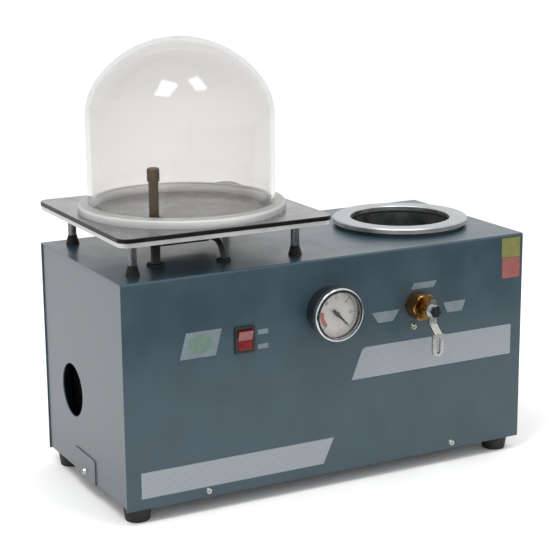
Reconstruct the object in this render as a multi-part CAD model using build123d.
from build123d import *
import os
from math import atan2, cos, degrees, radians, sin, sqrt, tan

# Bench-top vacuum investing and casting machine, in millimetres.
# +X is the machine's right, -Y its front, +Z up.
# The origin is at the middle of the footprint, on the bench under the feet.

# Driving sizes: case
BOX_W, BOX_D, BOX_H = 530.0, 246.0, 260.0   # sheet-metal case, outside
SHEET = 1.5                                 # cover and end panels
BEND_R = 2.5                                # outside radius of the folded edges
TRAY_T = 2.0                                # floor of the base tray
TRAY_LIP = 26.0                             # height of the tray's front and back flanges
TRAY_GAP = 0.2                              # tray inside the cover
TAB_W, TAB_H, TAB_Y = 64.0, 30.0, 4.0       # folded tab outside each end panel
PANEL_FLANGE = 12.0                         # folded edge of an end panel
SIDE_HOLE_R, SIDE_HOLE_Y, SIDE_HOLE_Z = 32.0, 38.0, 98.0
CASE_SCREW_X, CASE_SCREW_Z = 165.0, 7.5     # from the middle, and above the lower edge
SCREW_R = 2.0                               # M4 fasteners
BOLT_R = 2.5                                # M5 fasteners
HOLE_GAP = 0.1                              # radial clearance of a fastener in its hole
FIT = 0.05                                  # radial clearance of a turned fit
FREE_GAP = 0.4                              # gap between parts that pass each other

# Driving sizes: feet
FOOT_H, FOOT_R_TOP, FOOT_R_LOW = 18.0, 16.5, 14.0
FOOT_INSET = 21.0
FOOT_BORE_R, FOOT_BORE_H = 6.0, 8.0

# Driving sizes: vibrating platform
PLATE_W, PLATE_D, PLATE_T, PLATE_CORNER = 260.0, 256.0, 5.0, 12.0
PLATE_FROM_LEFT, PLATE_Y = 132.0, 2.0
PLATE_GAP = 40.0                            # underside of the plate above the case
PAD_T, PAD_OVERHANG = 5.0, 1.0
POST_R, POST_SPACING_X, POST_SPACING_Y, POST_Y = 5.0, 203.0, 182.0, 5.0
POST_FLANGE_R, POST_FLANGE_T = 7.0, 2.0
ISOLATOR_R_LOW, ISOLATOR_R_TOP, ISOLATOR_H = 8.5, 5.5, 11.0
NOZZLE_DX, NOZZLE_DY = -60.2, -57.2         # from the middle of the plate
NOZZLE_R, NOZZLE_H, NOZZLE_BORE = 5.5, 46.0, 2.5
NOZZLE_CAP_R, NOZZLE_CAP_H = 7.0, 15.0
NOZZLE_FLANGE_R, NOZZLE_FLANGE_T = 11.0, 4.0
NUT_AF, NUT_T = 17.0, 6.0

# Driving sizes: bell jar
JAR_R, JAR_WALL, JAR_H, JAR_DOME, JAR_KNUCKLE = 109.0, 5.0, 198.0, 90.0, 70.0
JAR_FLANGE_R, JAR_FLANGE_T = 121.0, 9.0

# Driving sizes: vibrator under the platform
VIB_R, VIB_L, VIB_WALL, VIB_SHAFT_R = 15.0, 60.0, 2.5, 3.0
VIB_BRACKET_T, VIB_BRACKET_L, VIB_BRACKET_W = 3.0, 44.0, 52.0
WEIGHT_R, WEIGHT_T = 12.5, 9.0

# Driving sizes: flask chamber
CHAMBER_FROM_RIGHT, CHAMBER_Y = 101.0, -2.0
CHAMBER_R, CHAMBER_WALL = 62.0, 3.0
CHAMBER_UNDER = 70.0                        # room between the chamber's floor and the tray
CHAMBER_FLANGE_W, CHAMBER_FLANGE_T = 13.0, 2.0
GASKET_T, GASKET_W = 2.5, 18.0
RING_W, RING_T = 22.0, 6.0
RING_SCREW_OUT = 6.0                        # screw circle outside the chamber wall
RING_SCREWS = 6

# Driving sizes: vacuum gauge
GAUGE_X, GAUGE_DROP = -7.0, 62.0            # centre, and its distance under the case top
GAUGE_R, GAUGE_WALL, GAUGE_L = 30.0, 1.5, 20.0
BEZEL_R, BEZEL_LIP_R, BEZEL_T = 31.5, 26.8, 7.0
BEZEL_PROUD = 25.0                          # bezel front ahead of the case
LENS_T, DIAL_T, NEEDLE_T = 1.5, 1.0, 0.8
STEM_R = 6.5

# Driving sizes: rocker switch
SWITCH_FROM_LEFT, SWITCH_DROP = 148.0, 81.0
SWITCH_W, SWITCH_H, SWITCH_BODY_D = 25.0, 31.0, 28.0
SWITCH_FLANGE, SWITCH_FLANGE_T = 2.0, 2.5
SWITCH_WALL, ROCKER_GAP, ROCKER_PIN_R = 1.1, 0.5, 1.5
ROCKER_TILT = 8.0

# Driving sizes: three-way valve
VALVE_FROM_RIGHT, VALVE_DROP = 153.0, 70.0
VALVE_BLOCK, VALVE_BLOCK_D, VALVE_BACK = 34.0, 30.0, 2.0
VALVE_NECK_R, BONNET_AF, BONNET_L = 10.0, 30.0, 20.0
BALL_R, VALVE_PORT_R, VALVE_STEM_R = 9.0, 3.0, 4.0
LEVER_T, LEVER_W, LEVER_HUB_R, LEVER_LEN, LEVER_CRANK = 3.0, 13.0, 9.5, 52.0, 12.0
LEVER_OUT = 36.0                            # front of the lever hub ahead of the case
LEVER_NUT_AF, LEVER_NUT_T = 13.0, 6.0

# Driving sizes: hoses and fittings
HOSE_R, HOSE_BORE, BARB_R, BARB_L, BARB_HEX, BARB_HEX_T = 5.5, 4.1, 3.9, 17.0, 14.0, 5.0
THIN_HOSE_R, THIN_BORE, THIN_BARB_R = 3.0, 1.7, 1.5
CABLE_R = 3.5
GROMMET_WALL, GROMMET_LIP = 2.5, 2.5

# Driving sizes: oil-sealed vane pump, with its axis on the side hole's axis
PUMP_FROM_LEFT = 18.0
FAN_COVER_L, MOTOR_L, OIL_CASE_L = 25.0, 110.0, 104.0
MOTOR_R, MOTOR_WALL, FIN_H, FINS = 53.0, 3.0, 4.0, 24
PUMP_SHAFT_R, STATOR_R, ROTOR_R = 6.0, 32.0, 31.5
OIL_CASE_R = 57.0
PUMP_BORE_R, PUMP_ROTOR_R, PUMP_OFFSET, PUMP_ROTOR_L = 38.0, 30.0, 7.0, 60.0
VANE_T, VANE_REACH = 5.0, 0.5
PUMP_BASE_T, PUMP_BASE_D = 6.0, 96.0
SILENCER_R, SILENCER_TAIL_R = 14.0, 8.0
CAPACITOR_R, CAPACITOR_L = 17.0, 72.0

# Driving sizes: power inlet at the back
INLET_FROM_RIGHT, INLET_Z = 65.0, 62.0
INLET_W, INLET_H, INLET_D, INLET_WALL = 27.0, 20.0, 26.0, 2.0
INLET_FLANGE, INLET_FLANGE_T = 3.0, 2.5

LABEL_T = 0.3

# Places that follow from the sizes above
HX, HY = BOX_W / 2, BOX_D / 2
Z_BASE, Z_TOP = FOOT_H, FOOT_H + BOX_H
Z_PLATE = Z_TOP + PLATE_GAP
Z_PAD = Z_PLATE + PLATE_T
Z_DECK = Z_PAD + PAD_T
FRONT, BACK = -HY, HY
PLATE_X = -HX + PLATE_FROM_LEFT
NOZZLE_X, NOZZLE_Y = PLATE_X + NOZZLE_DX, PLATE_Y + NOZZLE_DY
CHAMBER_X = HX - CHAMBER_FROM_RIGHT
CAN_R = CHAMBER_R + CHAMBER_WALL
CHAMBER_DEPTH = BOX_H - CHAMBER_UNDER
GAUGE_Z = Z_TOP - GAUGE_DROP
SWITCH_X, SWITCH_Z = -HX + SWITCH_FROM_LEFT, Z_TOP - SWITCH_DROP
VALVE_X, VALVE_Z = HX - VALVE_FROM_RIGHT, Z_TOP - VALVE_DROP
SCREW_Z = Z_BASE + CASE_SCREW_Z
PUMP_Y, PUMP_Z = SIDE_HOLE_Y, Z_BASE + SIDE_HOLE_Z
FAN_X = -HX + PUMP_FROM_LEFT
MOTOR_X = FAN_X + FAN_COVER_L
CASE_X = MOTOR_X + MOTOR_L
PUMP_END = CASE_X + OIL_CASE_L
VIB_Z = Z_PLATE - VIB_BRACKET_T - VIB_R
CABLE_X, CABLE_Y = SWITCH_X, PLATE_Y - 75.0
INLET_X = HX - INLET_FROM_RIGHT
REACH = LEVER_OUT + LEVER_CRANK             # the lever in front and the silencer behind

# Values of single pieces, which follow from the places above
DOME_SCREW = (VALVE_X - 4, VALVE_Z - 27)
HEAD_R, HEAD_T, SCREW_L = 4.2, 2.8, 8.0
BOLT_AF, BOLT_HEAD, COUNTERSINK, POST_TAP = 8.0, 3.5, 2.5, 14.0
SWITCH_BODY_W, SWITCH_BODY_H = SWITCH_W - 2 * SWITCH_FLANGE, SWITCH_H - 2 * SWITCH_FLANGE
WELL_W, WELL_H, WELL_D = SWITCH_BODY_W - 2 * SWITCH_WALL, SWITCH_BODY_H - 2 * SWITCH_WALL, 14.0
ROCKER_Y = FRONT + 0.5
NEEDLE_PIN_R, NEEDLE_LEN = 0.8, 21.0
DIAL_Y, LENS_Y = FRONT - GAUGE_L + 5, FRONT - BEZEL_PROUD + 1.6
BALL_Y = FRONT + SHEET + VALVE_BACK + VALVE_BLOCK_D / 2
GLAND_L, WEIGHT_GAP = 5.0, 2.0
PUMP_CHAMBER_X = CASE_X + 22
VANE_ROOT, FAN_BLADES = 14.0, 7
SILENCER_X, SILENCER_Z, SILENCER_GROOVES = CASE_X + 80, PUMP_Z + 40, 5
INTAKE_X, INTAKE_Z = CASE_X + 74, PUMP_Z + 12
ELBOW_DROP, ELBOW_DIR = 20.0, (sqrt(0.5), -sqrt(0.5))
VENT_SLOTS, VENT_PITCH, VENT_W, VENT_H = 9, 12.0, 5.0, 60.0
FLOOR_SLOTS, FLOOR_SLOT_PITCH = 6, 18.0
PINS = ((-7, -2), (0, 2), (7, -2))

# Hose and cable routes, from fitting to fitting
PLATFORM_ROUTE = [
    (VALVE_X - VALVE_BLOCK / 2 - BARB_HEX_T - 1, BALL_Y, VALVE_Z), (VALVE_X - 72, BALL_Y, VALVE_Z),
    (VALVE_X - 120, PLATE_Y - 60, VALVE_Z - 4), (NOZZLE_X + 90, NOZZLE_Y + 6, VALVE_Z - 14),
    (NOZZLE_X + 28, NOZZLE_Y + 4, VALVE_Z - 12), (NOZZLE_X, NOZZLE_Y, VALVE_Z + 16),
    (NOZZLE_X, NOZZLE_Y, Z_PLATE - NUT_T - 1),
]
ELBOW_Z = Z_TOP - CHAMBER_DEPTH - CHAMBER_WALL - ELBOW_DROP
CHAMBER_ROUTE = [
    (VALVE_X + VALVE_BLOCK / 2 + BARB_HEX_T + 1, BALL_Y, VALVE_Z), (CHAMBER_X + 36, BALL_Y, VALVE_Z),
    (CHAMBER_X + 74, BALL_Y + 4, VALVE_Z - 44), (CHAMBER_X + 77, BALL_Y + 16, ELBOW_Z + 44),
    (CHAMBER_X + 76 * ELBOW_DIR[0], CHAMBER_Y + 76 * ELBOW_DIR[1], ELBOW_Z),
    (CHAMBER_X + 12 * ELBOW_DIR[0], CHAMBER_Y + 12 * ELBOW_DIR[1], ELBOW_Z),
]
PUMP_ROUTE = [
    (VALVE_X, BALL_Y, VALVE_Z - VALVE_BLOCK / 2 - BARB_HEX_T - 1), (VALVE_X, BALL_Y, VALVE_Z - 84),
    (VALVE_X - 42, BALL_Y + 4, VALVE_Z - 112), (INTAKE_X + 46, BALL_Y + 10, INTAKE_Z - 36),
    (INTAKE_X, PUMP_Y - OIL_CASE_R - 52, INTAKE_Z),
    (INTAKE_X, PUMP_Y - OIL_CASE_R - BARB_HEX_T - 1, INTAKE_Z),
]
GAUGE_ROUTE = [
    (VALVE_X, BALL_Y, VALVE_Z + VALVE_BLOCK / 2 + BARB_HEX_T + 1), (VALVE_X, BALL_Y, Z_TOP - 20),
    (VALVE_X - 52, BALL_Y + 12, Z_TOP - 14), (GAUGE_X + 6, BALL_Y + 36, Z_TOP - 22),
    (GAUGE_X, BALL_Y + 44, GAUGE_Z), (GAUGE_X, FRONT + 18, GAUGE_Z),
]
CABLE_ROUTE = [
    (CABLE_X, FRONT + SWITCH_BODY_D + 1, SWITCH_Z), (CABLE_X, CABLE_Y + 5, SWITCH_Z + 2),
    (CABLE_X, CABLE_Y, Z_TOP - 26), (CABLE_X, CABLE_Y, VIB_Z), (CABLE_X, PLATE_Y - VIB_R - 2, VIB_Z),
]


def block(x, y, z):
    """A box between the low and high value on each axis."""
    low, high = zip(x, y, z)
    middle = [(a + b) / 2 for a, b in zip(low, high)]
    return Pos(*middle) * Box(*[b - a for a, b in zip(low, high)])


def place(axis, at, low):
    """The frame of a turned piece that starts at low on an axis and grows along it."""
    if axis == "X":
        return Plane(origin=(low, at[0], at[1]), x_dir=(0, 1, 0), z_dir=(1, 0, 0))
    if axis == "Y":
        return Plane(origin=(at[0], low, at[1]), x_dir=(1, 0, 0), z_dir=(0, 1, 0))
    return Plane(origin=(at[0], at[1], low), x_dir=(1, 0, 0), z_dir=(0, 0, 1))


def rod(r, low, high, axis, at):
    """A round bar between two values of an axis."""
    return extrude(place(axis, at, low) * Circle(r), amount=high - low)


def tube(r, bore, low, high, axis, at):
    """A round bar with a bore right through it."""
    return extrude(place(axis, at, low) * (Circle(r) - Circle(bore)), amount=high - low)


def hexagon(flats, low, high, axis, at, bore=0.0):
    """A hexagonal bar, bored if a bore radius is given."""
    section = RegularPolygon(flats / 2, 6, major_radius=False)
    if bore:
        section = section - Circle(bore)
    return extrude(place(axis, at, low) * section, amount=high - low)


def save(node, *pieces):
    """Write one node, which may hold several separate solids."""
    solids = [solid for piece in pieces for solid in piece.solids()]
    shape = solids[0] if len(solids) == 1 else Compound(solids)
    export_step(shape, f"parts/{node}.step")


def corners(cx, cy, dx, dy):
    """The four corners of a rectangle about a centre."""
    return [(cx + i * dx / 2, cy + j * dy / 2) for i in (-1, 1) for j in (-1, 1)]


FEET = corners(0, 0, BOX_W - 2 * FOOT_INSET, BOX_D - 2 * FOOT_INSET)
POSTS = corners(PLATE_X, POST_Y, POST_SPACING_X, POST_SPACING_Y)
PUMP_FEET = corners((MOTOR_X + PUMP_END) / 2, PUMP_Y, PUMP_END - MOTOR_X - 24, PUMP_BASE_D - 20)
RING_HOLE_R = CAN_R + RING_SCREW_OUT
RING_HOLES = [
    (CHAMBER_X + RING_HOLE_R * cos(radians(a)), CHAMBER_Y + RING_HOLE_R * sin(radians(a)))
    for a in range(30, 390, 360 // RING_SCREWS)
]


# Case

def front_hole(r, x, z):
    return rod(r, FRONT - 1, FRONT + SHEET + 1, "Y", (x, z))


def back_hole(r, x, z):
    return rod(r, BACK - SHEET - 1, BACK + 1, "Y", (x, z))


def top_hole(r, x, y):
    return rod(r, Z_TOP - SHEET - 1, Z_TOP + 1, "Z", (x, y))


def cover_wrap():
    """One sheet folded over the front, top and back, open at both ends."""
    outer = block((-HX, HX), (FRONT, BACK), (Z_BASE, Z_TOP))
    outer = fillet(outer.edges().filter_by(Axis.X).group_by(Axis.Z)[-1], BEND_R)
    inner = block((-HX - 1, HX + 1), (FRONT + SHEET, BACK - SHEET), (Z_BASE - 1, Z_TOP - SHEET))
    inner = fillet(inner.edges().filter_by(Axis.X).group_by(Axis.Z)[-1], BEND_R - SHEET)
    wrap = outer - inner
    wrap -= front_hole(STEM_R + HOLE_GAP, GAUGE_X, GAUGE_Z)
    wrap -= front_hole(VALVE_NECK_R + HOLE_GAP, VALVE_X, VALVE_Z)
    wrap -= front_hole(SCREW_R + HOLE_GAP, *DOME_SCREW)
    wrap -= block((SWITCH_X - SWITCH_BODY_W / 2 - HOLE_GAP, SWITCH_X + SWITCH_BODY_W / 2 + HOLE_GAP),
                  (FRONT - 1, FRONT + SHEET + 1),
                  (SWITCH_Z - SWITCH_BODY_H / 2 - HOLE_GAP, SWITCH_Z + SWITCH_BODY_H / 2 + HOLE_GAP))
    for side in (-1, 1):
        wrap -= front_hole(SCREW_R + HOLE_GAP, side * CASE_SCREW_X, SCREW_Z)
        wrap -= back_hole(SCREW_R + HOLE_GAP, side * CASE_SCREW_X, SCREW_Z)
    wrap -= top_hole(CAN_R + HOLE_GAP, CHAMBER_X, CHAMBER_Y)
    for x, y in RING_HOLES:
        wrap -= top_hole(SCREW_R + HOLE_GAP, x, y)
    for x, y in POSTS:
        wrap -= top_hole(BOLT_R + HOLE_GAP, x, y)
    wrap -= top_hole(HOSE_R + GROMMET_WALL, NOZZLE_X, NOZZLE_Y)
    wrap -= top_hole(CABLE_R + GROMMET_WALL, CABLE_X, CABLE_Y)
    wrap -= back_hole(SILENCER_TAIL_R + HOLE_GAP, SILENCER_X, SILENCER_Z)
    wrap -= block((INLET_X - INLET_W / 2 - HOLE_GAP, INLET_X + INLET_W / 2 + HOLE_GAP),
                  (BACK - SHEET - 1, BACK + 1),
                  (INLET_Z - INLET_H / 2 - HOLE_GAP, INLET_Z + INLET_H / 2 + HOLE_GAP))
    for i in range(VENT_SLOTS):
        x = MOTOR_X + MOTOR_L / 2 + (i - (VENT_SLOTS - 1) / 2) * VENT_PITCH
        slot = block((x - VENT_W / 2, x + VENT_W / 2), (BACK - SHEET - 1, BACK + 1),
                     (PUMP_Z - VENT_H / 2, PUMP_Z + VENT_H / 2))
        wrap -= fillet(slot.edges().filter_by(Axis.Y), VENT_W / 2 - 0.05)
    return wrap


def end_panel(side):
    """A panel let into the open end of the cover, with its edges folded inwards."""
    outer = HX - SHEET
    inner = outer - SHEET
    width = HY - SHEET
    z_low, z_high = Z_BASE + TRAY_T + TRAY_GAP, Z_TOP - SHEET
    sheet = block((inner, outer), (-width, width), (z_low, z_high))
    sheet = fillet(sheet.edges().filter_by(Axis.X).group_by(Axis.Z)[-1], BEND_R - SHEET)
    edge = BEND_R - SHEET
    reach = (inner - PANEL_FLANGE, inner)
    sheet += block(reach, (-width + edge, width - edge), (z_high - SHEET, z_high))
    for s in (-1, 1):
        y = sorted((s * width, s * (width - SHEET)))
        sheet += block(reach, y, (Z_BASE + TRAY_LIP + 4, z_high - edge))
    sheet -= rod(SIDE_HOLE_R, inner - 1, outer + 1, "X", (SIDE_HOLE_Y, Z_BASE + SIDE_HOLE_Z))
    sheet -= rod(SCREW_R + HOLE_GAP, inner - 1, outer + 1, "X", (TAB_Y, SCREW_Z))
    return sheet if side > 0 else mirror(sheet, Plane.YZ)


def base_tray():
    """The floor, with flanges inside the cover and a tab outside each end panel."""
    inside = HX - 2 * SHEET - TRAY_GAP
    width = HY - SHEET - TRAY_GAP
    tray = block((-inside, inside), (-width, width), (Z_BASE, Z_BASE + TRAY_T))
    for s in (-1, 1):
        y = sorted((s * width, s * (width - SHEET)))
        tray += block((-inside, inside), y, (Z_BASE, Z_BASE + TRAY_LIP))
        tab_y = (TAB_Y - TAB_W / 2, TAB_Y + TAB_W / 2)
        tray += block(sorted((s * inside, s * HX)), tab_y, (Z_BASE, Z_BASE + TRAY_T))
        tab = block(sorted((s * (HX - SHEET), s * HX)), tab_y, (Z_BASE, Z_BASE + TAB_H))
        tray += fillet(tab.edges().filter_by(Axis.X).group_by(Axis.Z)[-1], 4)
        tray -= rod(SCREW_R + HOLE_GAP, *sorted((s * (HX - SHEET - 1), s * (HX + 1))), "X", (TAB_Y, SCREW_Z))
        for x in (-CASE_SCREW_X, CASE_SCREW_X):
            ends = sorted((s * (width - SHEET - 1), s * (width + 1)))
            tray -= rod(SCREW_R + HOLE_GAP, *ends, "Y", (x, SCREW_Z))
    for x, y in FEET + PUMP_FEET:
        tray -= rod(BOLT_R + HOLE_GAP, Z_BASE - 1, Z_BASE + TRAY_T + 1, "Z", (x, y))
    for i in range(FLOOR_SLOTS):
        x = MOTOR_X + FLOOR_SLOT_PITCH * (i + 0.5)
        tray -= block((x, x + VENT_W), (-width + 30, -width + 80), (Z_BASE - 1, Z_BASE + TRAY_T + 1))
    return tray


def pan_screw(axis, sign, face, at, length):
    """A domed screw whose head sits on a face; sign is the way the head points out."""
    head = Pos(0, 0, -(HEAD_R ** 2 - HEAD_T ** 2) / (2 * HEAD_T)) * Sphere(
        (HEAD_R ** 2 + HEAD_T ** 2) / (2 * HEAD_T))
    head &= Pos(0, 0, HEAD_T / 2) * Box(2.4 * HEAD_R, 2.4 * HEAD_R, HEAD_T)
    for turn in (0, 90):
        head -= Pos(0, 0, HEAD_T) * Rot(0, 0, turn) * Box(HEAD_R, 1.0, 1.6)
    screw = head + Pos(0, 0, -length / 2) * Cylinder(SCREW_R, length)
    out = {"X": (sign, 0, 0), "Y": (0, sign, 0), "Z": (0, 0, sign)}[axis]
    origin = {"X": (face, *at), "Y": (at[0], face, at[1]), "Z": (*at, face)}[axis]
    return Plane(origin=origin, z_dir=out) * screw


def case_screws():
    """Pan-head screws: two at the front, two at the back, one in each tab, one by the valve."""
    pieces = [pan_screw("Y", -1, FRONT, (x, SCREW_Z), SCREW_L) for x in (-CASE_SCREW_X, CASE_SCREW_X)]
    pieces += [pan_screw("Y", 1, BACK, (x, SCREW_Z), SCREW_L) for x in (-CASE_SCREW_X, CASE_SCREW_X)]
    pieces += [pan_screw("X", s, s * HX, (TAB_Y, SCREW_Z), SCREW_L) for s in (-1, 1)]
    pieces.append(pan_screw("Y", -1, FRONT, DOME_SCREW, SCREW_L))
    return pieces


def bolt(x, y, face, length, up):
    """A hexagon bolt; its head sits on a level face and its shank goes up or down."""
    if up:
        head = hexagon(BOLT_AF, face - BOLT_HEAD, face, "Z", (x, y))
        return head + rod(BOLT_R, face, face + length, "Z", (x, y))
    head = hexagon(BOLT_AF, face, face + BOLT_HEAD, "Z", (x, y))
    return head + rod(BOLT_R, face - length, face, "Z", (x, y))


def rubber_foot(x, y):
    """A tapered rubber foot, bored from below for its bolt."""
    foot = Pos(x, y, FOOT_H / 2) * Cone(FOOT_R_LOW, FOOT_R_TOP, FOOT_H)
    foot = fillet(foot.edges().group_by(Axis.Z)[0], 1.5)
    foot -= rod(FOOT_BORE_R, -1, FOOT_BORE_H, "Z", (x, y))
    return foot - rod(BOLT_R + HOLE_GAP, 0, FOOT_H + 1, "Z", (x, y))


def frame_bolts():
    """The bolts of the feet, of the pump's base and of the platform's isolators."""
    pieces = [bolt(x, y, FOOT_BORE_H, FOOT_H - FOOT_BORE_H + TRAY_T + 4, True) for x, y in FEET]
    for x, y in PUMP_FEET:
        pieces.append(bolt(x, y, Z_BASE + TRAY_T + PUMP_BASE_T, PUMP_BASE_T + TRAY_T + 2, False))
    pieces += [bolt(x, y, Z_TOP - SHEET, SHEET + ISOLATOR_H / 2, True) for x, y in POSTS]
    return pieces


# Vibrating platform

def isolator(x, y):
    """A rubber cone on the case, bored from below for its bolt."""
    cone = Pos(x, y, Z_TOP + ISOLATOR_H / 2) * Cone(ISOLATOR_R_LOW, ISOLATOR_R_TOP, ISOLATOR_H)
    return cone - rod(BOLT_R + HOLE_GAP, Z_TOP - 1, Z_TOP + ISOLATOR_H / 2 + HOLE_GAP, "Z", (x, y))


def platform_post(x, y):
    """A steel post from an isolator to the plate, tapped from above."""
    post = rod(POST_R, Z_TOP + ISOLATOR_H, Z_PLATE, "Z", (x, y))
    post += rod(POST_FLANGE_R, Z_PLATE - POST_FLANGE_T, Z_PLATE, "Z", (x, y))
    return post - rod(BOLT_R + FIT, Z_PLATE - POST_TAP, Z_PLATE + 1, "Z", (x, y))


def plate_screw(x, y, gap=0.0):
    """A countersunk screw from the plate into a post; with a gap it is the cutter for its hole."""
    head = Pos(x, y, Z_PAD - COUNTERSINK / 2) * Cone(BOLT_R + gap, BOLT_R + COUNTERSINK + gap, COUNTERSINK)
    return head + rod(BOLT_R + gap, Z_PLATE - (POST_TAP - 2 if not gap else 1), Z_PAD, "Z", (x, y))


def slab(w, d, corner, low, high):
    """A level plate with rounded corners, about the middle of the platform."""
    plate = block((PLATE_X - w / 2, PLATE_X + w / 2), (PLATE_Y - d / 2, PLATE_Y + d / 2), (low, high))
    return fillet(plate.edges().filter_by(Axis.Z), corner)


def vibration_plate():
    plate = slab(PLATE_W, PLATE_D, PLATE_CORNER, Z_PLATE, Z_PAD)
    for x, y in POSTS:
        plate -= plate_screw(x, y, HOLE_GAP)
    return plate - rod(NOZZLE_R + HOLE_GAP, Z_PLATE - 1, Z_PAD + 1, "Z", (NOZZLE_X, NOZZLE_Y))


def rubber_pad():
    pad = slab(PLATE_W + 2 * PAD_OVERHANG, PLATE_D + 2 * PAD_OVERHANG, PLATE_CORNER + PAD_OVERHANG,
               Z_PAD, Z_DECK)
    pad = fillet(pad.edges().group_by(Axis.Z)[-1], 1.0)
    return pad - rod(NOZZLE_R + HOLE_GAP, Z_PAD - 1, Z_DECK + 1, "Z", (NOZZLE_X, NOZZLE_Y))


def nozzle_tube():
    """A flanged tube through the pad and the plate, which ends in a barb below."""
    at = (NOZZLE_X, NOZZLE_Y)
    low = Z_PLATE - NUT_T - BARB_L
    column = rod(NOZZLE_R, Z_PLATE - NUT_T, Z_DECK + NOZZLE_H, "Z", at)
    column += rod(NOZZLE_FLANGE_R, Z_DECK, Z_DECK + NOZZLE_FLANGE_T, "Z", at)
    column += rod(BARB_R, low, Z_PLATE - NUT_T, "Z", at)
    return column - rod(NOZZLE_BORE, low - 1, Z_DECK + NOZZLE_H + 1, "Z", at)


def nozzle_cap():
    """A brass strainer cap with side holes, screwed on top of the nozzle."""
    at = (NOZZLE_X, NOZZLE_Y)
    top = Z_DECK + NOZZLE_H + NOZZLE_CAP_H
    cap = rod(NOZZLE_CAP_R, Z_DECK + NOZZLE_H, top, "Z", at)
    cap = chamfer(cap.edges().group_by(Axis.Z)[-1], 1.5)
    cap -= rod(NOZZLE_BORE, Z_DECK + NOZZLE_H - 1, top - 3, "Z", at)
    for turn in (0, 60, 120):
        cap -= Pos(*at, top - 6) * Rot(0, 0, turn) * Rot(0, 90, 0) * Cylinder(1.2, 3 * NOZZLE_CAP_R)
    return cap


def jar_outline(r, top, dome, knuckle):
    """Half the jar's section: a straight wall, a knuckle arc and a flatter crown arc, up to the axis."""
    shoulder = top - dome
    crown = ((r - knuckle) ** 2 + dome ** 2 - knuckle ** 2) / (2 * (dome - knuckle))
    meet = degrees(atan2(crown - dome, r - knuckle))
    base, wall = Line((0, 0), (r, 0)), Line((r, 0), (r, shoulder))
    low_arc = CenterArc((r - knuckle, shoulder), knuckle, 0, meet)
    high_arc = CenterArc((0, top - crown), crown, meet, 90 - meet)
    return make_face([base, wall, low_arc, high_arc, Line((0, top), (0, 0))])


def bell_jar():
    """A clear jar: a straight wall, a low dome, and a ground flange that seals on the pad."""
    wall = jar_outline(JAR_R, JAR_H, JAR_DOME, JAR_KNUCKLE)
    wall -= jar_outline(JAR_R - JAR_WALL, JAR_H - JAR_WALL, JAR_DOME - JAR_WALL, JAR_KNUCKLE - JAR_WALL)
    foot_w = JAR_FLANGE_R - JAR_R + JAR_WALL / 2
    foot = Pos(JAR_FLANGE_R - foot_w / 2, JAR_FLANGE_T / 2) * Rectangle(foot_w, JAR_FLANGE_T)
    outer_top = foot.vertices().sort_by(Axis.Y)[-2:].sort_by(Axis.X)[-1]
    section = wall + fillet(outer_top, 3.0)
    return Pos(PLATE_X, PLATE_Y, Z_DECK) * revolve(Plane.XZ * section, Axis.Z)


# Vibrator under the plate

def vibrator_housing():
    """The motor can, closed at both ends, with a gland for the cable."""
    can = rod(VIB_R, PLATE_X - VIB_L / 2, PLATE_X + VIB_L / 2, "X", (PLATE_Y, VIB_Z))
    can -= rod(VIB_R - VIB_WALL, PLATE_X - VIB_L / 2 + 6, PLATE_X + VIB_L / 2 - 6, "X", (PLATE_Y, VIB_Z))
    can += rod(CABLE_R + 2, PLATE_Y - VIB_R - GLAND_L, PLATE_Y - VIB_R + VIB_WALL, "Y", (CABLE_X, VIB_Z))
    can -= rod(VIB_R - VIB_WALL, PLATE_X - VIB_L / 2 + 6, PLATE_X + VIB_L / 2 - 6, "X", (PLATE_Y, VIB_Z))
    can -= rod(CABLE_R, PLATE_Y - VIB_R - GLAND_L - 1, PLATE_Y - VIB_R - 1, "Y", (CABLE_X, VIB_Z))
    return can - rod(VIB_SHAFT_R + FIT, PLATE_X - VIB_L, PLATE_X + VIB_L, "X", (PLATE_Y, VIB_Z))


def vibrator_bracket():
    """A saddle between the plate and the motor can."""
    x = (PLATE_X - VIB_BRACKET_L / 2, PLATE_X + VIB_BRACKET_L / 2)
    y = (PLATE_Y - VIB_BRACKET_W / 2, PLATE_Y + VIB_BRACKET_W / 2)
    saddle = block(x, y, (Z_PLATE - VIB_BRACKET_T, Z_PLATE))
    for s in (-1, 1):
        low = PLATE_Y + s * (VIB_R * 0.72) - 5
        saddle += block(x, (low, low + 10), (VIB_Z + CABLE_R + 3, Z_PLATE - VIB_BRACKET_T))
    saddle -= rod(VIB_R + FIT, PLATE_X - VIB_L, PLATE_X + VIB_L, "X", (PLATE_Y, VIB_Z))
    return saddle


def vibrator_shaft():
    half = VIB_L / 2 + 2 * WEIGHT_GAP + WEIGHT_T
    shaft = rod(VIB_SHAFT_R, PLATE_X - half, PLATE_X + half, "X", (PLATE_Y, VIB_Z))
    half = VIB_L / 2 - 10
    rotor = rod(VIB_R - VIB_WALL - 2, PLATE_X - half, PLATE_X + half, "X", (PLATE_Y, VIB_Z))
    return shaft + rotor


def eccentric_weight(side):
    """Half a disc, clamped on one end of the shaft so that it shakes the plate."""
    low = PLATE_X + side * (VIB_L / 2 + WEIGHT_GAP) - (WEIGHT_T if side < 0 else 0)
    disc = rod(WEIGHT_R, low, low + WEIGHT_T, "X", (PLATE_Y, VIB_Z))
    disc -= block((low - 1, low + WEIGHT_T + 1), (PLATE_Y - 20, PLATE_Y + 20), (VIB_Z + 1, VIB_Z + 20))
    disc += rod(VIB_SHAFT_R + 3, low, low + WEIGHT_T, "X", (PLATE_Y, VIB_Z))
    return disc - rod(VIB_SHAFT_R + 0.02, low - 1, low + WEIGHT_T + 1, "X", (PLATE_Y, VIB_Z))


# Flask chamber

def ring_of_holes(r, low, high):
    cutter = None
    for x, y in RING_HOLES:
        hole = rod(r, low, high, "Z", (x, y))
        cutter = hole if cutter is None else cutter + hole
    return cutter


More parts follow.
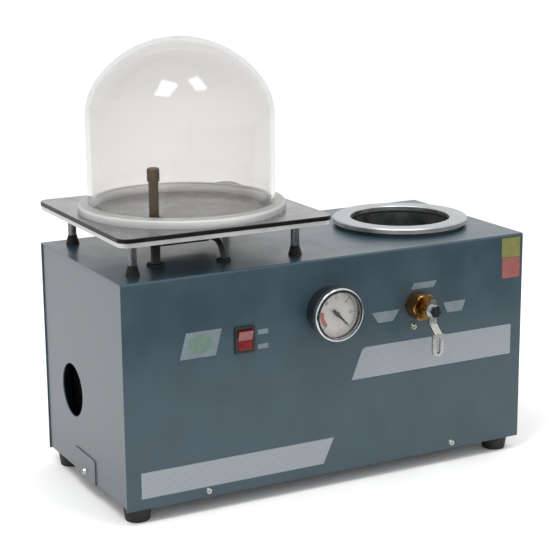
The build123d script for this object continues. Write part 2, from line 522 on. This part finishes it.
def flask_chamber():
    """A steel cup hung in the case top by its flange, with its port in the bottom."""
    at = (CHAMBER_X, CHAMBER_Y)
    low = Z_TOP - CHAMBER_DEPTH
    cup = rod(CAN_R, low - CHAMBER_WALL, Z_TOP, "Z", at)
    cup += rod(CAN_R + CHAMBER_FLANGE_W, Z_TOP, Z_TOP + CHAMBER_FLANGE_T, "Z", at)
    cup -= rod(CHAMBER_R, low, Z_TOP + CHAMBER_FLANGE_T + 1, "Z", at)
    cup -= rod(VALVE_PORT_R, low - CHAMBER_WALL - 1, low + 1, "Z", at)
    return cup - ring_of_holes(SCREW_R + HOLE_GAP, Z_TOP - 1, Z_TOP + CHAMBER_FLANGE_T + 1)


def chamber_gasket():
    low = Z_TOP + CHAMBER_FLANGE_T
    ring = tube(CHAMBER_R + GASKET_W, CHAMBER_R, low, low + GASKET_T, "Z", (CHAMBER_X, CHAMBER_Y))
    return ring - ring_of_holes(SCREW_R + HOLE_GAP, low - 1, low + GASKET_T + 1)


def chamber_ring():
    """The aluminium ring that the casting flask stands on."""
    low = Z_TOP + CHAMBER_FLANGE_T + GASKET_T
    ring = tube(CHAMBER_R + RING_W, CHAMBER_R, low, low + RING_T, "Z", (CHAMBER_X, CHAMBER_Y))
    ring = chamfer(ring.edges().group_by(Axis.Z)[-1], 1.2)
    return ring - ring_of_holes(SCREW_R + FIT, low - 1, low + RING_T - 2)


def ring_screw(x, y):
    under = Z_TOP - SHEET
    length = SHEET + CHAMBER_FLANGE_T + GASKET_T + RING_T - 2.5
    head = rod(SCREW_R * 1.9, under - 2.5, under, "Z", (x, y))
    return head + rod(SCREW_R, under, under + length, "Z", (x, y))


# Vacuum gauge

def gauge_disc(r, front, back, bore=0.0):
    at = (GAUGE_X, GAUGE_Z)
    if bore:
        return tube(r, bore, front, back, "Y", at)
    return rod(r, front, back, "Y", at)


def gauge_case():
    """A steel cup behind the dial; its back lies on the case front."""
    cup = gauge_disc(GAUGE_R, FRONT - GAUGE_L, FRONT)
    cup -= gauge_disc(GAUGE_R - GAUGE_WALL, FRONT - GAUGE_L - 1, FRONT - 2)
    return cup - gauge_disc(STEM_R + FIT, FRONT - 3, FRONT + 1)


def gauge_bezel():
    front = FRONT - BEZEL_PROUD
    ring = gauge_disc(BEZEL_R, front, front + BEZEL_T)
    ring = fillet(ring.edges().group_by(Axis.Y)[0], 2.0)
    ring -= gauge_disc(BEZEL_LIP_R, front - 1, front + BEZEL_T + 1)
    return ring - gauge_disc(GAUGE_R + FIT, front + 1.5, front + BEZEL_T + 1)


def gauge_stem():
    """The brass socket through the case front, with the movement's plate and a thin barb behind."""
    stem = gauge_disc(STEM_R, FRONT - 4, FRONT + 12)
    stem += hexagon(BARB_HEX, FRONT + 12, FRONT + 17, "Y", (GAUGE_X, GAUGE_Z))
    stem += gauge_disc(THIN_BARB_R, FRONT + 17, FRONT + 17 + BARB_L)
    stem -= gauge_disc(0.8, FRONT + 3, FRONT + 18 + BARB_L)
    movement = block((GAUGE_X - 10, GAUGE_X + 10), (FRONT - 8, FRONT - 4), (GAUGE_Z - 10, GAUGE_Z + 10))
    return stem + movement - gauge_disc(NEEDLE_PIN_R + FIT, FRONT - 9, FRONT - 1)


def gauge_needle():
    """A pointer on its spindle; at rest it points at the zero, low on the right."""
    y = FRONT - GAUGE_L + 2.0
    pointer = make_face(Polyline((-7, -1.6), (-7, 1.6), (0, 2.0), (NEEDLE_LEN, 0.25), (NEEDLE_LEN, -0.25),
                                 (0, -2.0), (-7, -1.6)))
    blade = extrude(Plane(origin=(GAUGE_X, y, GAUGE_Z), x_dir=(cos(radians(-45)), 0, sin(radians(-45))),
                          z_dir=(0, 1, 0)) * pointer, amount=NEEDLE_T)
    hub = gauge_disc(2.6, y - 0.8, y + NEEDLE_T)
    return blade + hub + gauge_disc(NEEDLE_PIN_R, y, FRONT - 5)


# Rocker switch

def switch_housing():
    """A black frame on the case front, with an open well for the rocker."""
    at = (SWITCH_X, SWITCH_Z)
    frame = block((at[0] - SWITCH_W / 2, at[0] + SWITCH_W / 2), (FRONT - SWITCH_FLANGE_T, FRONT),
                  (at[1] - SWITCH_H / 2, at[1] + SWITCH_H / 2))
    frame = fillet(frame.edges().filter_by(Axis.Y), 1.5)
    frame += block((at[0] - SWITCH_BODY_W / 2, at[0] + SWITCH_BODY_W / 2), (FRONT, FRONT + SWITCH_BODY_D),
                   (at[1] - SWITCH_BODY_H / 2, at[1] + SWITCH_BODY_H / 2))
    frame -= block((at[0] - WELL_W / 2, at[0] + WELL_W / 2), (FRONT - 10, FRONT + WELL_D),
                   (at[1] - WELL_H / 2, at[1] + WELL_H / 2))
    return frame - rod(ROCKER_PIN_R + FIT, at[0] - WELL_W / 2 - 0.9, at[0] + WELL_W / 2 + 0.9, "X",
                       (ROCKER_Y, at[1]))


def switch_rocker():
    """The rocking button on its two pins, tilted with its lower half pressed in, which is off."""
    half = WELL_H / 2 - ROCKER_GAP - 0.6
    section = make_face(Polyline((-half, 5), (0, 2.8), (half, 5), (half, -4), (4, -8), (-4, -8),
                                 (-half, -4), (-half, 5)))
    width = WELL_W - 2 * ROCKER_GAP
    body = extrude(Plane(origin=(-width / 2, 0, 0), x_dir=(0, 0, 1), z_dir=(1, 0, 0)) * section, amount=width)
    body = fillet(body.edges().filter_by(Axis.X).group_by(Axis.Y)[0], 0.6)
    body += rod(ROCKER_PIN_R, -WELL_W / 2 - 0.7, WELL_W / 2 + 0.7, "X", (0, 0))
    return Pos(SWITCH_X, ROCKER_Y, SWITCH_Z) * Rot(ROCKER_TILT, 0, 0) * body


def switch_terminals():
    y = (FRONT + SWITCH_BODY_D, FRONT + SWITCH_BODY_D + 8)
    places = [(SWITCH_X + i * 6, SWITCH_Z + j * 8) for i in (-1, 1) for j in (-1, 1)]
    return [block((x - 0.4, x + 0.4), y, (z - 3, z + 3)) for x, z in places]


# Three-way valve

def valve_body():
    """A brass block behind the case front with a ball cavity, four ports and a neck."""
    half = VALVE_BLOCK / 2
    back = FRONT + SHEET + VALVE_BACK
    body = block((VALVE_X - half, VALVE_X + half), (back, back + VALVE_BLOCK_D),
                 (VALVE_Z - half, VALVE_Z + half))
    body = chamfer(body.edges().filter_by(Axis.Y), 4)
    body += rod(VALVE_NECK_R, FRONT - BONNET_L + 2, back, "Y", (VALVE_X, VALVE_Z))
    body -= Pos(VALVE_X, BALL_Y, VALVE_Z) * Sphere(BALL_R + 0.3)
    body -= rod(VALVE_PORT_R, VALVE_X - half - 1, VALVE_X + half + 1, "X", (BALL_Y, VALVE_Z))
    body -= rod(VALVE_PORT_R, VALVE_Z - half - 1, VALVE_Z, "Z", (VALVE_X, BALL_Y))
    body -= rod(THIN_BARB_R - 0.5, VALVE_Z, VALVE_Z + half + 1, "Z", (VALVE_X, BALL_Y))
    return body - rod(VALVE_STEM_R + FIT, FRONT - BONNET_L - 1, BALL_Y, "Y", (VALVE_X, VALVE_Z))


def valve_bonnet():
    """The brass hexagon that clamps the valve to the case front."""
    nut = hexagon(BONNET_AF, FRONT - BONNET_L, FRONT, "Y", (VALVE_X, VALVE_Z))
    middle = Pos(VALVE_X, FRONT - BONNET_L / 2, VALVE_Z)
    rounded = middle * Rot(90, 0, 0) * Cylinder(BONNET_AF / 2 * 1.1, BONNET_L)
    nut &= chamfer(rounded.edges().group_by(Axis.Y)[0], 1.5)
    nut -= rod(VALVE_NECK_R + FIT, FRONT - BONNET_L + 2, FRONT + 1, "Y", (VALVE_X, VALVE_Z))
    return nut - rod(VALVE_STEM_R + FREE_GAP, FRONT - BONNET_L - 1, FRONT, "Y", (VALVE_X, VALVE_Z))


def valve_ball():
    """The ball with an L-shaped bore, in one piece with its stem."""
    ball = Pos(VALVE_X, BALL_Y, VALVE_Z) * Sphere(BALL_R)
    ball -= rod(VALVE_PORT_R, VALVE_Z - BALL_R - 1, VALVE_Z, "Z", (VALVE_X, BALL_Y))
    ball -= rod(VALVE_PORT_R, VALVE_X - BALL_R - 1, VALVE_X, "X", (BALL_Y, VALVE_Z))
    return ball + rod(VALVE_STEM_R, FRONT - LEVER_OUT - LEVER_NUT_T + 2, BALL_Y - VALVE_PORT_R, "Y",
                      (VALVE_X, VALVE_Z))


def valve_lever():
    """A stamped lever that hangs down, cranked forwards, with a slot in its grip."""
    hub = FRONT - LEVER_OUT
    grip = hub - LEVER_CRANK
    bend_low = -LEVER_HUB_R - 6 - LEVER_CRANK * 0.8
    side = make_face(Polyline(
        (hub, 14), (hub + LEVER_T, 14), (hub + LEVER_T, -LEVER_HUB_R - 7), (grip + LEVER_T, bend_low - 1),
        (grip + LEVER_T, -LEVER_LEN), (grip, -LEVER_LEN), (grip, bend_low), (hub, -LEVER_HUB_R - 6), (hub, 14)))
    bent = extrude(Plane(origin=(-30, 0, 0), x_dir=(0, 1, 0), z_dir=(1, 0, 0)) * side, amount=60)
    face = Circle(LEVER_HUB_R) + Pos(0, 7) * Rectangle(8, 13)
    face += Pos(0, -LEVER_LEN / 2 + 3) * Rectangle(LEVER_W - 3, LEVER_LEN - 12)
    face += Pos(0, (bend_low - LEVER_LEN + 5) / 2) * Rectangle(LEVER_W + 2, LEVER_LEN + bend_low - 5)
    face += Pos(0, -LEVER_LEN + LEVER_W / 2 + 1) * Circle(LEVER_W / 2 + 1)
    face -= Circle(VALVE_STEM_R + FIT)
    face -= Pos(0, (bend_low - LEVER_LEN) / 2 - 1) * SlotOverall(LEVER_LEN + bend_low - 8, 5.5, rotation=90)
    front = Plane(origin=(0, 0, 0), x_dir=(1, 0, 0), z_dir=(0, -1, 0))
    flat = extrude(front * face, amount=REACH + HY + 10)
    return Pos(VALVE_X, 0, VALVE_Z) * (bent & flat)


def lever_nut():
    front = FRONT - LEVER_OUT - LEVER_NUT_T
    nut = hexagon(LEVER_NUT_AF, front, FRONT - LEVER_OUT, "Y", (VALVE_X, VALVE_Z))
    return nut - rod(VALVE_STEM_R + FIT, front + 1.5, FRONT, "Y", (VALVE_X, VALVE_Z))


# Hoses and fittings

def barb(base, direction, r=BARB_R, bore=2.0, hexed=BARB_HEX):
    """A hose barb that screws into a port and points along a direction."""
    body = extrude(RegularPolygon(hexed / 2, 6, major_radius=False), amount=BARB_HEX_T)
    body += Pos(0, 0, BARB_HEX_T + BARB_L / 2) * Cylinder(r * 0.9, BARB_L)
    for k in (1, 2, 3):
        body += Pos(0, 0, BARB_HEX_T + k * BARB_L / 3 - 2) * Cone(r, r * 0.8, 4)
    body -= Pos(0, 0, 10) * Cylinder(bore, 60)
    return Plane(origin=base, z_dir=direction) * body


def hose_barbs():
    """Brass fittings: three barbs and a thin one on the valve, one on the pump, and the chamber's elbow."""
    half = VALVE_BLOCK / 2
    pieces = [
        barb((VALVE_X - half, BALL_Y, VALVE_Z), (-1, 0, 0)),
        barb((VALVE_X + half, BALL_Y, VALVE_Z), (1, 0, 0)),
        barb((VALVE_X, BALL_Y, VALVE_Z - half), (0, 0, -1)),
        barb((VALVE_X, BALL_Y, VALVE_Z + half), (0, 0, 1), THIN_BARB_R, 0.8, 8.0),
        barb((INTAKE_X, PUMP_Y - OIL_CASE_R, INTAKE_Z), (0, -1, 0)),
    ]
    low = Z_TOP - CHAMBER_DEPTH - CHAMBER_WALL
    elbow = rod(8, low - ELBOW_DROP - 8, low, "Z", (CHAMBER_X, CHAMBER_Y))
    start = (CHAMBER_X + 6 * ELBOW_DIR[0], CHAMBER_Y + 6 * ELBOW_DIR[1], low - ELBOW_DROP)
    spout = barb(start, (*ELBOW_DIR, 0))
    pieces.append(elbow + spout)
    return pieces


def route(points):
    """A path of straight runs and arcs, each arc as large as its two runs allow."""
    radii = []
    for a, b, c in zip(points, points[1:], points[2:]):
        first, second = Vector(*b) - Vector(*a), Vector(*c) - Vector(*b)
        turn = radians(first.get_angle(second))
        radii.append(0.45 * min(first.length, second.length) / tan(turn / 2))
    return FilletPolyline(*points, radius=radii), min(radii)


def hose(name, points, r, bore):
    """A hose along its route; bore 0 makes a solid cable."""
    path, tightest = route(points)
    section = Circle(r) - Circle(bore) if bore else Circle(r)
    piece = sweep(Plane(origin=path @ 0, z_dir=path % 0) * section, path=path)
    print(f"{name}: length {path.length:.0f} mm, tightest arc {tightest:.0f} mm, "
          f"volume ratio {piece.volume / (section.area * path.length):.4f}")
    save(name, piece)


def grommet(r, x, y):
    """A rubber ring round a hose, with a lip above and below the sheet."""
    ring = rod(r + GROMMET_WALL, Z_TOP - SHEET, Z_TOP, "Z", (x, y))
    outer = r + GROMMET_WALL + 2.5
    ring += rod(outer, Z_TOP, Z_TOP + GROMMET_LIP, "Z", (x, y))
    ring += rod(outer, Z_TOP - SHEET - GROMMET_LIP, Z_TOP - SHEET, "Z", (x, y))
    ring = fillet(ring.edges().group_by(Axis.Z)[-1], 1.2)
    return ring - rod(r + FIT, Z_TOP - 20, Z_TOP + 20, "Z", (x, y))


# Vacuum pump

def pump_axis(r, low, high, dz=0.0):
    return rod(r, low, high, "X", (PUMP_Y, PUMP_Z + dz))


def motor_housing():
    """The finned motor shell with a bearing wall at each end."""
    shell = pump_axis(MOTOR_R, MOTOR_X, CASE_X)
    for i in range(FINS):
        turn = 360 / FINS * i
        axis = Pos(MOTOR_X + MOTOR_L / 2, PUMP_Y, PUMP_Z) * Rot(turn, 0, 0)
        fin = axis * Pos(0, 0, MOTOR_R + FIN_H / 2 - 1)
        shell += fin * Box(MOTOR_L - 16, 2.4, FIN_H + 2)
    shell -= pump_axis(MOTOR_R - MOTOR_WALL, MOTOR_X + 6, CASE_X - 6)
    return shell - pump_axis(PUMP_SHAFT_R + FIT, MOTOR_X - 1, CASE_X + 1)


def motor_stator():
    low = MOTOR_X + 18
    ring = pump_axis(MOTOR_R - MOTOR_WALL - HOLE_GAP, low, low + MOTOR_L - 36)
    return ring - pump_axis(STATOR_R, low - 1, low + MOTOR_L)


def motor_rotor():
    low = MOTOR_X + 20
    return pump_axis(ROTOR_R, low, low + MOTOR_L - 40) - pump_axis(PUMP_SHAFT_R + FIT, low - 1, CASE_X)


def fan_cover():
    """A pressed cap over the fan, with rings of slots that face the side hole."""
    cap = pump_axis(MOTOR_R + 2, FAN_X, MOTOR_X)
    cap = fillet(cap.edges().group_by(Axis.X)[0], 5)
    cap -= pump_axis(MOTOR_R, FAN_X + 2, MOTOR_X + 1)
    for r, count in ((17, 8), (30, 14), (42, 20)):
        for i in range(count):
            turn = Rot(360 / count * i, 0, 0)
            cap -= Pos(FAN_X, PUMP_Y, PUMP_Z) * turn * Pos(0, 0, r) * Rot(0, 90, 0) * Cylinder(3.6, 12)
    return cap


def cooling_fan():
    low, high = FAN_X + 7, MOTOR_X - 5
    fan = pump_axis(12, low, high)
    for i in range(FAN_BLADES):
        blade = Rot(360 / FAN_BLADES * i, 0, 0) * Pos(0, 0, 28) * Rot(0, 0, 28) * Box(high - low - 2, 2, 36)
        fan += Pos((low + high) / 2, PUMP_Y, PUMP_Z) * blade
    return fan - pump_axis(PUMP_SHAFT_R + FIT, low - 1, high + 1)


def pump_shaft():
    return pump_axis(PUMP_SHAFT_R, FAN_X + 5, PUMP_CHAMBER_X + PUMP_ROTOR_L + 8)


def oil_case():
    """The cast pump body: an off-centre bore for the rotor, an intake and an exhaust port."""
    case = block((CASE_X, PUMP_END), (PUMP_Y - OIL_CASE_R, PUMP_Y + OIL_CASE_R),
                 (PUMP_Z - OIL_CASE_R, PUMP_Z + OIL_CASE_R + 8))
    case = fillet(case.edges().filter_by(Axis.X), 10)
    case -= pump_axis(PUMP_BORE_R, PUMP_CHAMBER_X, PUMP_CHAMBER_X + PUMP_ROTOR_L + 1, PUMP_OFFSET)
    case -= pump_axis(PUMP_SHAFT_R + FIT, CASE_X - 1, PUMP_CHAMBER_X + PUMP_ROTOR_L + 9)
    case -= rod(2.0, PUMP_Y - OIL_CASE_R - 1, PUMP_Y - PUMP_BORE_R / 2, "Y", (INTAKE_X, INTAKE_Z))
    return case - rod(SILENCER_TAIL_R + HOLE_GAP, PUMP_Y + OIL_CASE_R - 9, PUMP_Y + OIL_CASE_R + 1, "Y",
                      (SILENCER_X, SILENCER_Z))


def pump_rotor():
    low = PUMP_CHAMBER_X + 0.5
    rotor = pump_axis(PUMP_ROTOR_R, low, low + PUMP_ROTOR_L)
    rotor -= pump_axis(PUMP_SHAFT_R + FIT, low - 1, low + PUMP_ROTOR_L + 1)
    for s in (-1, 1):
        rotor -= vane_box(s, VANE_T / 2 + HOLE_GAP, VANE_ROOT - HOLE_GAP, PUMP_ROTOR_R + 1, low - 1,
                          low + PUMP_ROTOR_L + 1)
    return rotor


def vane_box(side, half, inner, outer, low, high):
    reach = sorted((PUMP_Y + side * inner, PUMP_Y + side * outer))
    return block((low, high), reach, (PUMP_Z - half, PUMP_Z + half))


def pump_vanes():
    low = PUMP_CHAMBER_X + 0.5
    tip = PUMP_ROTOR_R + VANE_REACH
    return [vane_box(s, VANE_T / 2, VANE_ROOT, tip, low, low + PUMP_ROTOR_L) for s in (-1, 1)]


def pump_base():
    """A cast foot plate with a cradle under the motor and a pad under the pump body."""
    floor = Z_BASE + TRAY_T
    y = (PUMP_Y - PUMP_BASE_D / 2, PUMP_Y + PUMP_BASE_D / 2)
    base = block((MOTOR_X, PUMP_END), y, (floor, floor + PUMP_BASE_T))
    cradle = block((MOTOR_X + 30, MOTOR_X + 60), (PUMP_Y - 34, PUMP_Y + 34), (floor, PUMP_Z - MOTOR_R + 16))
    base += cradle - pump_axis(MOTOR_R + FIN_H + HOLE_GAP + 1, MOTOR_X, CASE_X)
    base += block((CASE_X + 20, PUMP_END - 20), (PUMP_Y - 40, PUMP_Y + 40), (floor, PUMP_Z - OIL_CASE_R))
    for x, yy in PUMP_FEET:
        base -= rod(BOLT_R + HOLE_GAP, floor - 1, floor + PUMP_BASE_T + 1, "Z", (x, yy))
    return base


def exhaust_silencer():
    """A ribbed exhaust muffler outside the back, screwed through it into the pump."""
    at = (SILENCER_X, SILENCER_Z)
    tail = rod(SILENCER_TAIL_R, PUMP_Y + OIL_CASE_R - 8, BACK + 1, "Y", at)
    body = rod(SILENCER_R, BACK, BACK + REACH, "Y", at)
    body = fillet(body.edges().group_by(Axis.Y)[-1], 3)
    for i in range(SILENCER_GROOVES):
        y = BACK + 12 + i * 6
        body -= tube(SILENCER_R + 1, SILENCER_R - 2, y, y + 2.5, "Y", at)
    return tail + body - rod(SILENCER_TAIL_R - 4, PUMP_Y + OIL_CASE_R - 9, BACK + REACH - 5, "Y", at)


def capacitor():
    """The motor's capacitor in its foot, on top of the motor shell."""
    z = PUMP_Z + MOTOR_R + FIN_H + CAPACITOR_R + 4
    low = MOTOR_X + 18
    can = rod(CAPACITOR_R, low, low + CAPACITOR_L, "X", (PUMP_Y, z))
    foot = block((low + 20, low + 52), (PUMP_Y - 14, PUMP_Y + 14), (PUMP_Z + MOTOR_R + FIN_H + 1.2, z))
    return can + foot


# Power inlet

def power_inlet():
    """A panel inlet: a flange on the back and a well for the connector."""
    y_in = BACK - INLET_D
    shell = block((INLET_X - INLET_W / 2, INLET_X + INLET_W / 2), (y_in, BACK),
                  (INLET_Z - INLET_H / 2, INLET_Z + INLET_H / 2))
    flange = block((INLET_X - INLET_W / 2 - INLET_FLANGE, INLET_X + INLET_W / 2 + INLET_FLANGE),
                   (BACK, BACK + INLET_FLANGE_T),
                   (INLET_Z - INLET_H / 2 - INLET_FLANGE, INLET_Z + INLET_H / 2 + INLET_FLANGE))
    shell += fillet(flange.edges().filter_by(Axis.Y), 3)
    well = block((INLET_X - INLET_W / 2 + INLET_WALL, INLET_X + INLET_W / 2 - INLET_WALL),
                 (y_in + 4, BACK + INLET_FLANGE_T + 1),
                 (INLET_Z - INLET_H / 2 + INLET_WALL, INLET_Z + INLET_H / 2 - INLET_WALL))
    shell -= well
    for dx, dz in PINS:
        shell -= block((INLET_X + dx - 1.1, INLET_X + dx + 1.1), (y_in - 1, y_in + 5),
                       (INLET_Z + dz - 2.6, INLET_Z + dz + 2.6))
    return shell


def inlet_pins():
    y = (BACK - INLET_D - 7, BACK - INLET_D + 19)
    places = [(INLET_X + dx, INLET_Z + dz) for dx, dz in PINS]
    return [block((x - 1, x + 1), y, (z - 2.5, z + 2.5)) for x, z in places]


# Labels on the case front

def label(corner, *points):
    """A thin plate stuck on the case front, with its points taken from a corner of the case."""
    outline = make_face(Polyline(*points, points[0]))
    front = Plane(origin=(corner[0], FRONT, corner[1]), x_dir=(1, 0, 0), z_dir=(0, -1, 0))
    return extrude(front * outline, amount=LABEL_T)


def front_labels():
    """Two striped bands, a blank name plate, switch and valve marks and two blank stickers."""
    low_left, top_left, top_right = (-HX, Z_BASE), (-HX, Z_TOP), (HX, Z_TOP)
    return [
        label(low_left, (18, 12.5), (250, 12.5), (264, 43), (18, 43)),
        label(top_right, (-242, -150.5), (-15, -150.5), (-15, -113), (-226.5, -113)),
        label(top_left, (68, -94), (112, -94), (120, -64), (76, -64)),
        label(top_left, (165, -77.5), (178, -77.5), (178, -72), (165, -72)),
        label(top_left, (165, -94.5), (178, -94.5), (178, -89), (165, -89)),
        label(top_right, (-161, -51.5), (-129, -51.5), (-125, -44), (-157, -44)),
        label(top_right, (-208, -86), (-184, -86), (-177, -73), (-215, -73)),
        label(top_right, (-111, -86), (-86, -86), (-83, -73), (-115, -73)),
        label(top_right, (-31, -28.5), (-4, -28.5), (-4, -4), (-31, -4)),
        label(top_right, (-30, -54), (-4, -54), (-4, -29), (-30, -29)),
    ]


os.makedirs("parts", exist_ok=True)
save("cover_wrap", cover_wrap())
save("left_end_panel", end_panel(-1))
save("right_end_panel", end_panel(1))
save("base_tray", base_tray())
save("case_screws", *case_screws())
save("rubber_feet", *[rubber_foot(x, y) for x, y in FEET])
save("frame_bolts", *frame_bolts())
save("platform_isolators", *[isolator(x, y) for x, y in POSTS])
save("platform_posts", *[platform_post(x, y) for x, y in POSTS])
save("plate_screws", *[plate_screw(x, y) for x, y in POSTS])
save("vibration_plate", vibration_plate())
save("rubber_pad", rubber_pad())
save("suction_nozzle", nozzle_tube())
save("nozzle_cap", nozzle_cap())
save("nozzle_nut", hexagon(NUT_AF, Z_PLATE - NUT_T, Z_PLATE, "Z", (NOZZLE_X, NOZZLE_Y), NOZZLE_R + FIT))
save("bell_jar", bell_jar())
save("vibrator_housing", vibrator_housing())
save("vibrator_bracket", vibrator_bracket())
save("vibrator_shaft", vibrator_shaft())
save("eccentric_weights", *[eccentric_weight(s) for s in (-1, 1)])
save("flask_chamber", flask_chamber())
save("chamber_gasket", chamber_gasket())
save("chamber_ring", chamber_ring())
save("ring_screws", *[ring_screw(x, y) for x, y in RING_HOLES])
save("gauge_case", gauge_case())
save("gauge_bezel", gauge_bezel())
save("gauge_dial", gauge_disc(GAUGE_R - GAUGE_WALL - HOLE_GAP, DIAL_Y, DIAL_Y + DIAL_T, NEEDLE_PIN_R + FIT))
save("gauge_lens", gauge_disc(GAUGE_R - HOLE_GAP, LENS_Y, LENS_Y + LENS_T))
save("gauge_stem", gauge_stem())
save("gauge_needle", gauge_needle())
save("switch_housing", switch_housing())
save("switch_rocker", switch_rocker())
save("switch_terminals", *switch_terminals())
save("valve_body", valve_body())
save("valve_bonnet", valve_bonnet())
save("valve_ball", valve_ball())
save("valve_lever", valve_lever())
save("lever_nut", lever_nut())
save("hose_barbs", *hose_barbs())
save("top_grommets", grommet(HOSE_R, NOZZLE_X, NOZZLE_Y), grommet(CABLE_R, CABLE_X, CABLE_Y))
hose("platform_hose", PLATFORM_ROUTE, HOSE_R, HOSE_BORE)
hose("chamber_line", CHAMBER_ROUTE, HOSE_R, HOSE_BORE)
hose("pump_line", PUMP_ROUTE, HOSE_R, HOSE_BORE)
hose("gauge_line", GAUGE_ROUTE, THIN_HOSE_R, THIN_BORE)
hose("vibrator_cable", CABLE_ROUTE, CABLE_R - HOLE_GAP, 0)
save("pump_base", pump_base())
save("motor_housing", motor_housing())
save("motor_stator", motor_stator())
save("motor_rotor", motor_rotor())
save("fan_cover", fan_cover())
save("cooling_fan", cooling_fan())
save("pump_shaft", pump_shaft())
save("oil_case", oil_case())
save("pump_rotor", pump_rotor())
save("pump_vanes", *pump_vanes())
save("exhaust_silencer", exhaust_silencer())
save("capacitor", capacitor())
save("power_inlet", power_inlet())
save("inlet_pins", *inlet_pins())
save("front_labels", *front_labels())
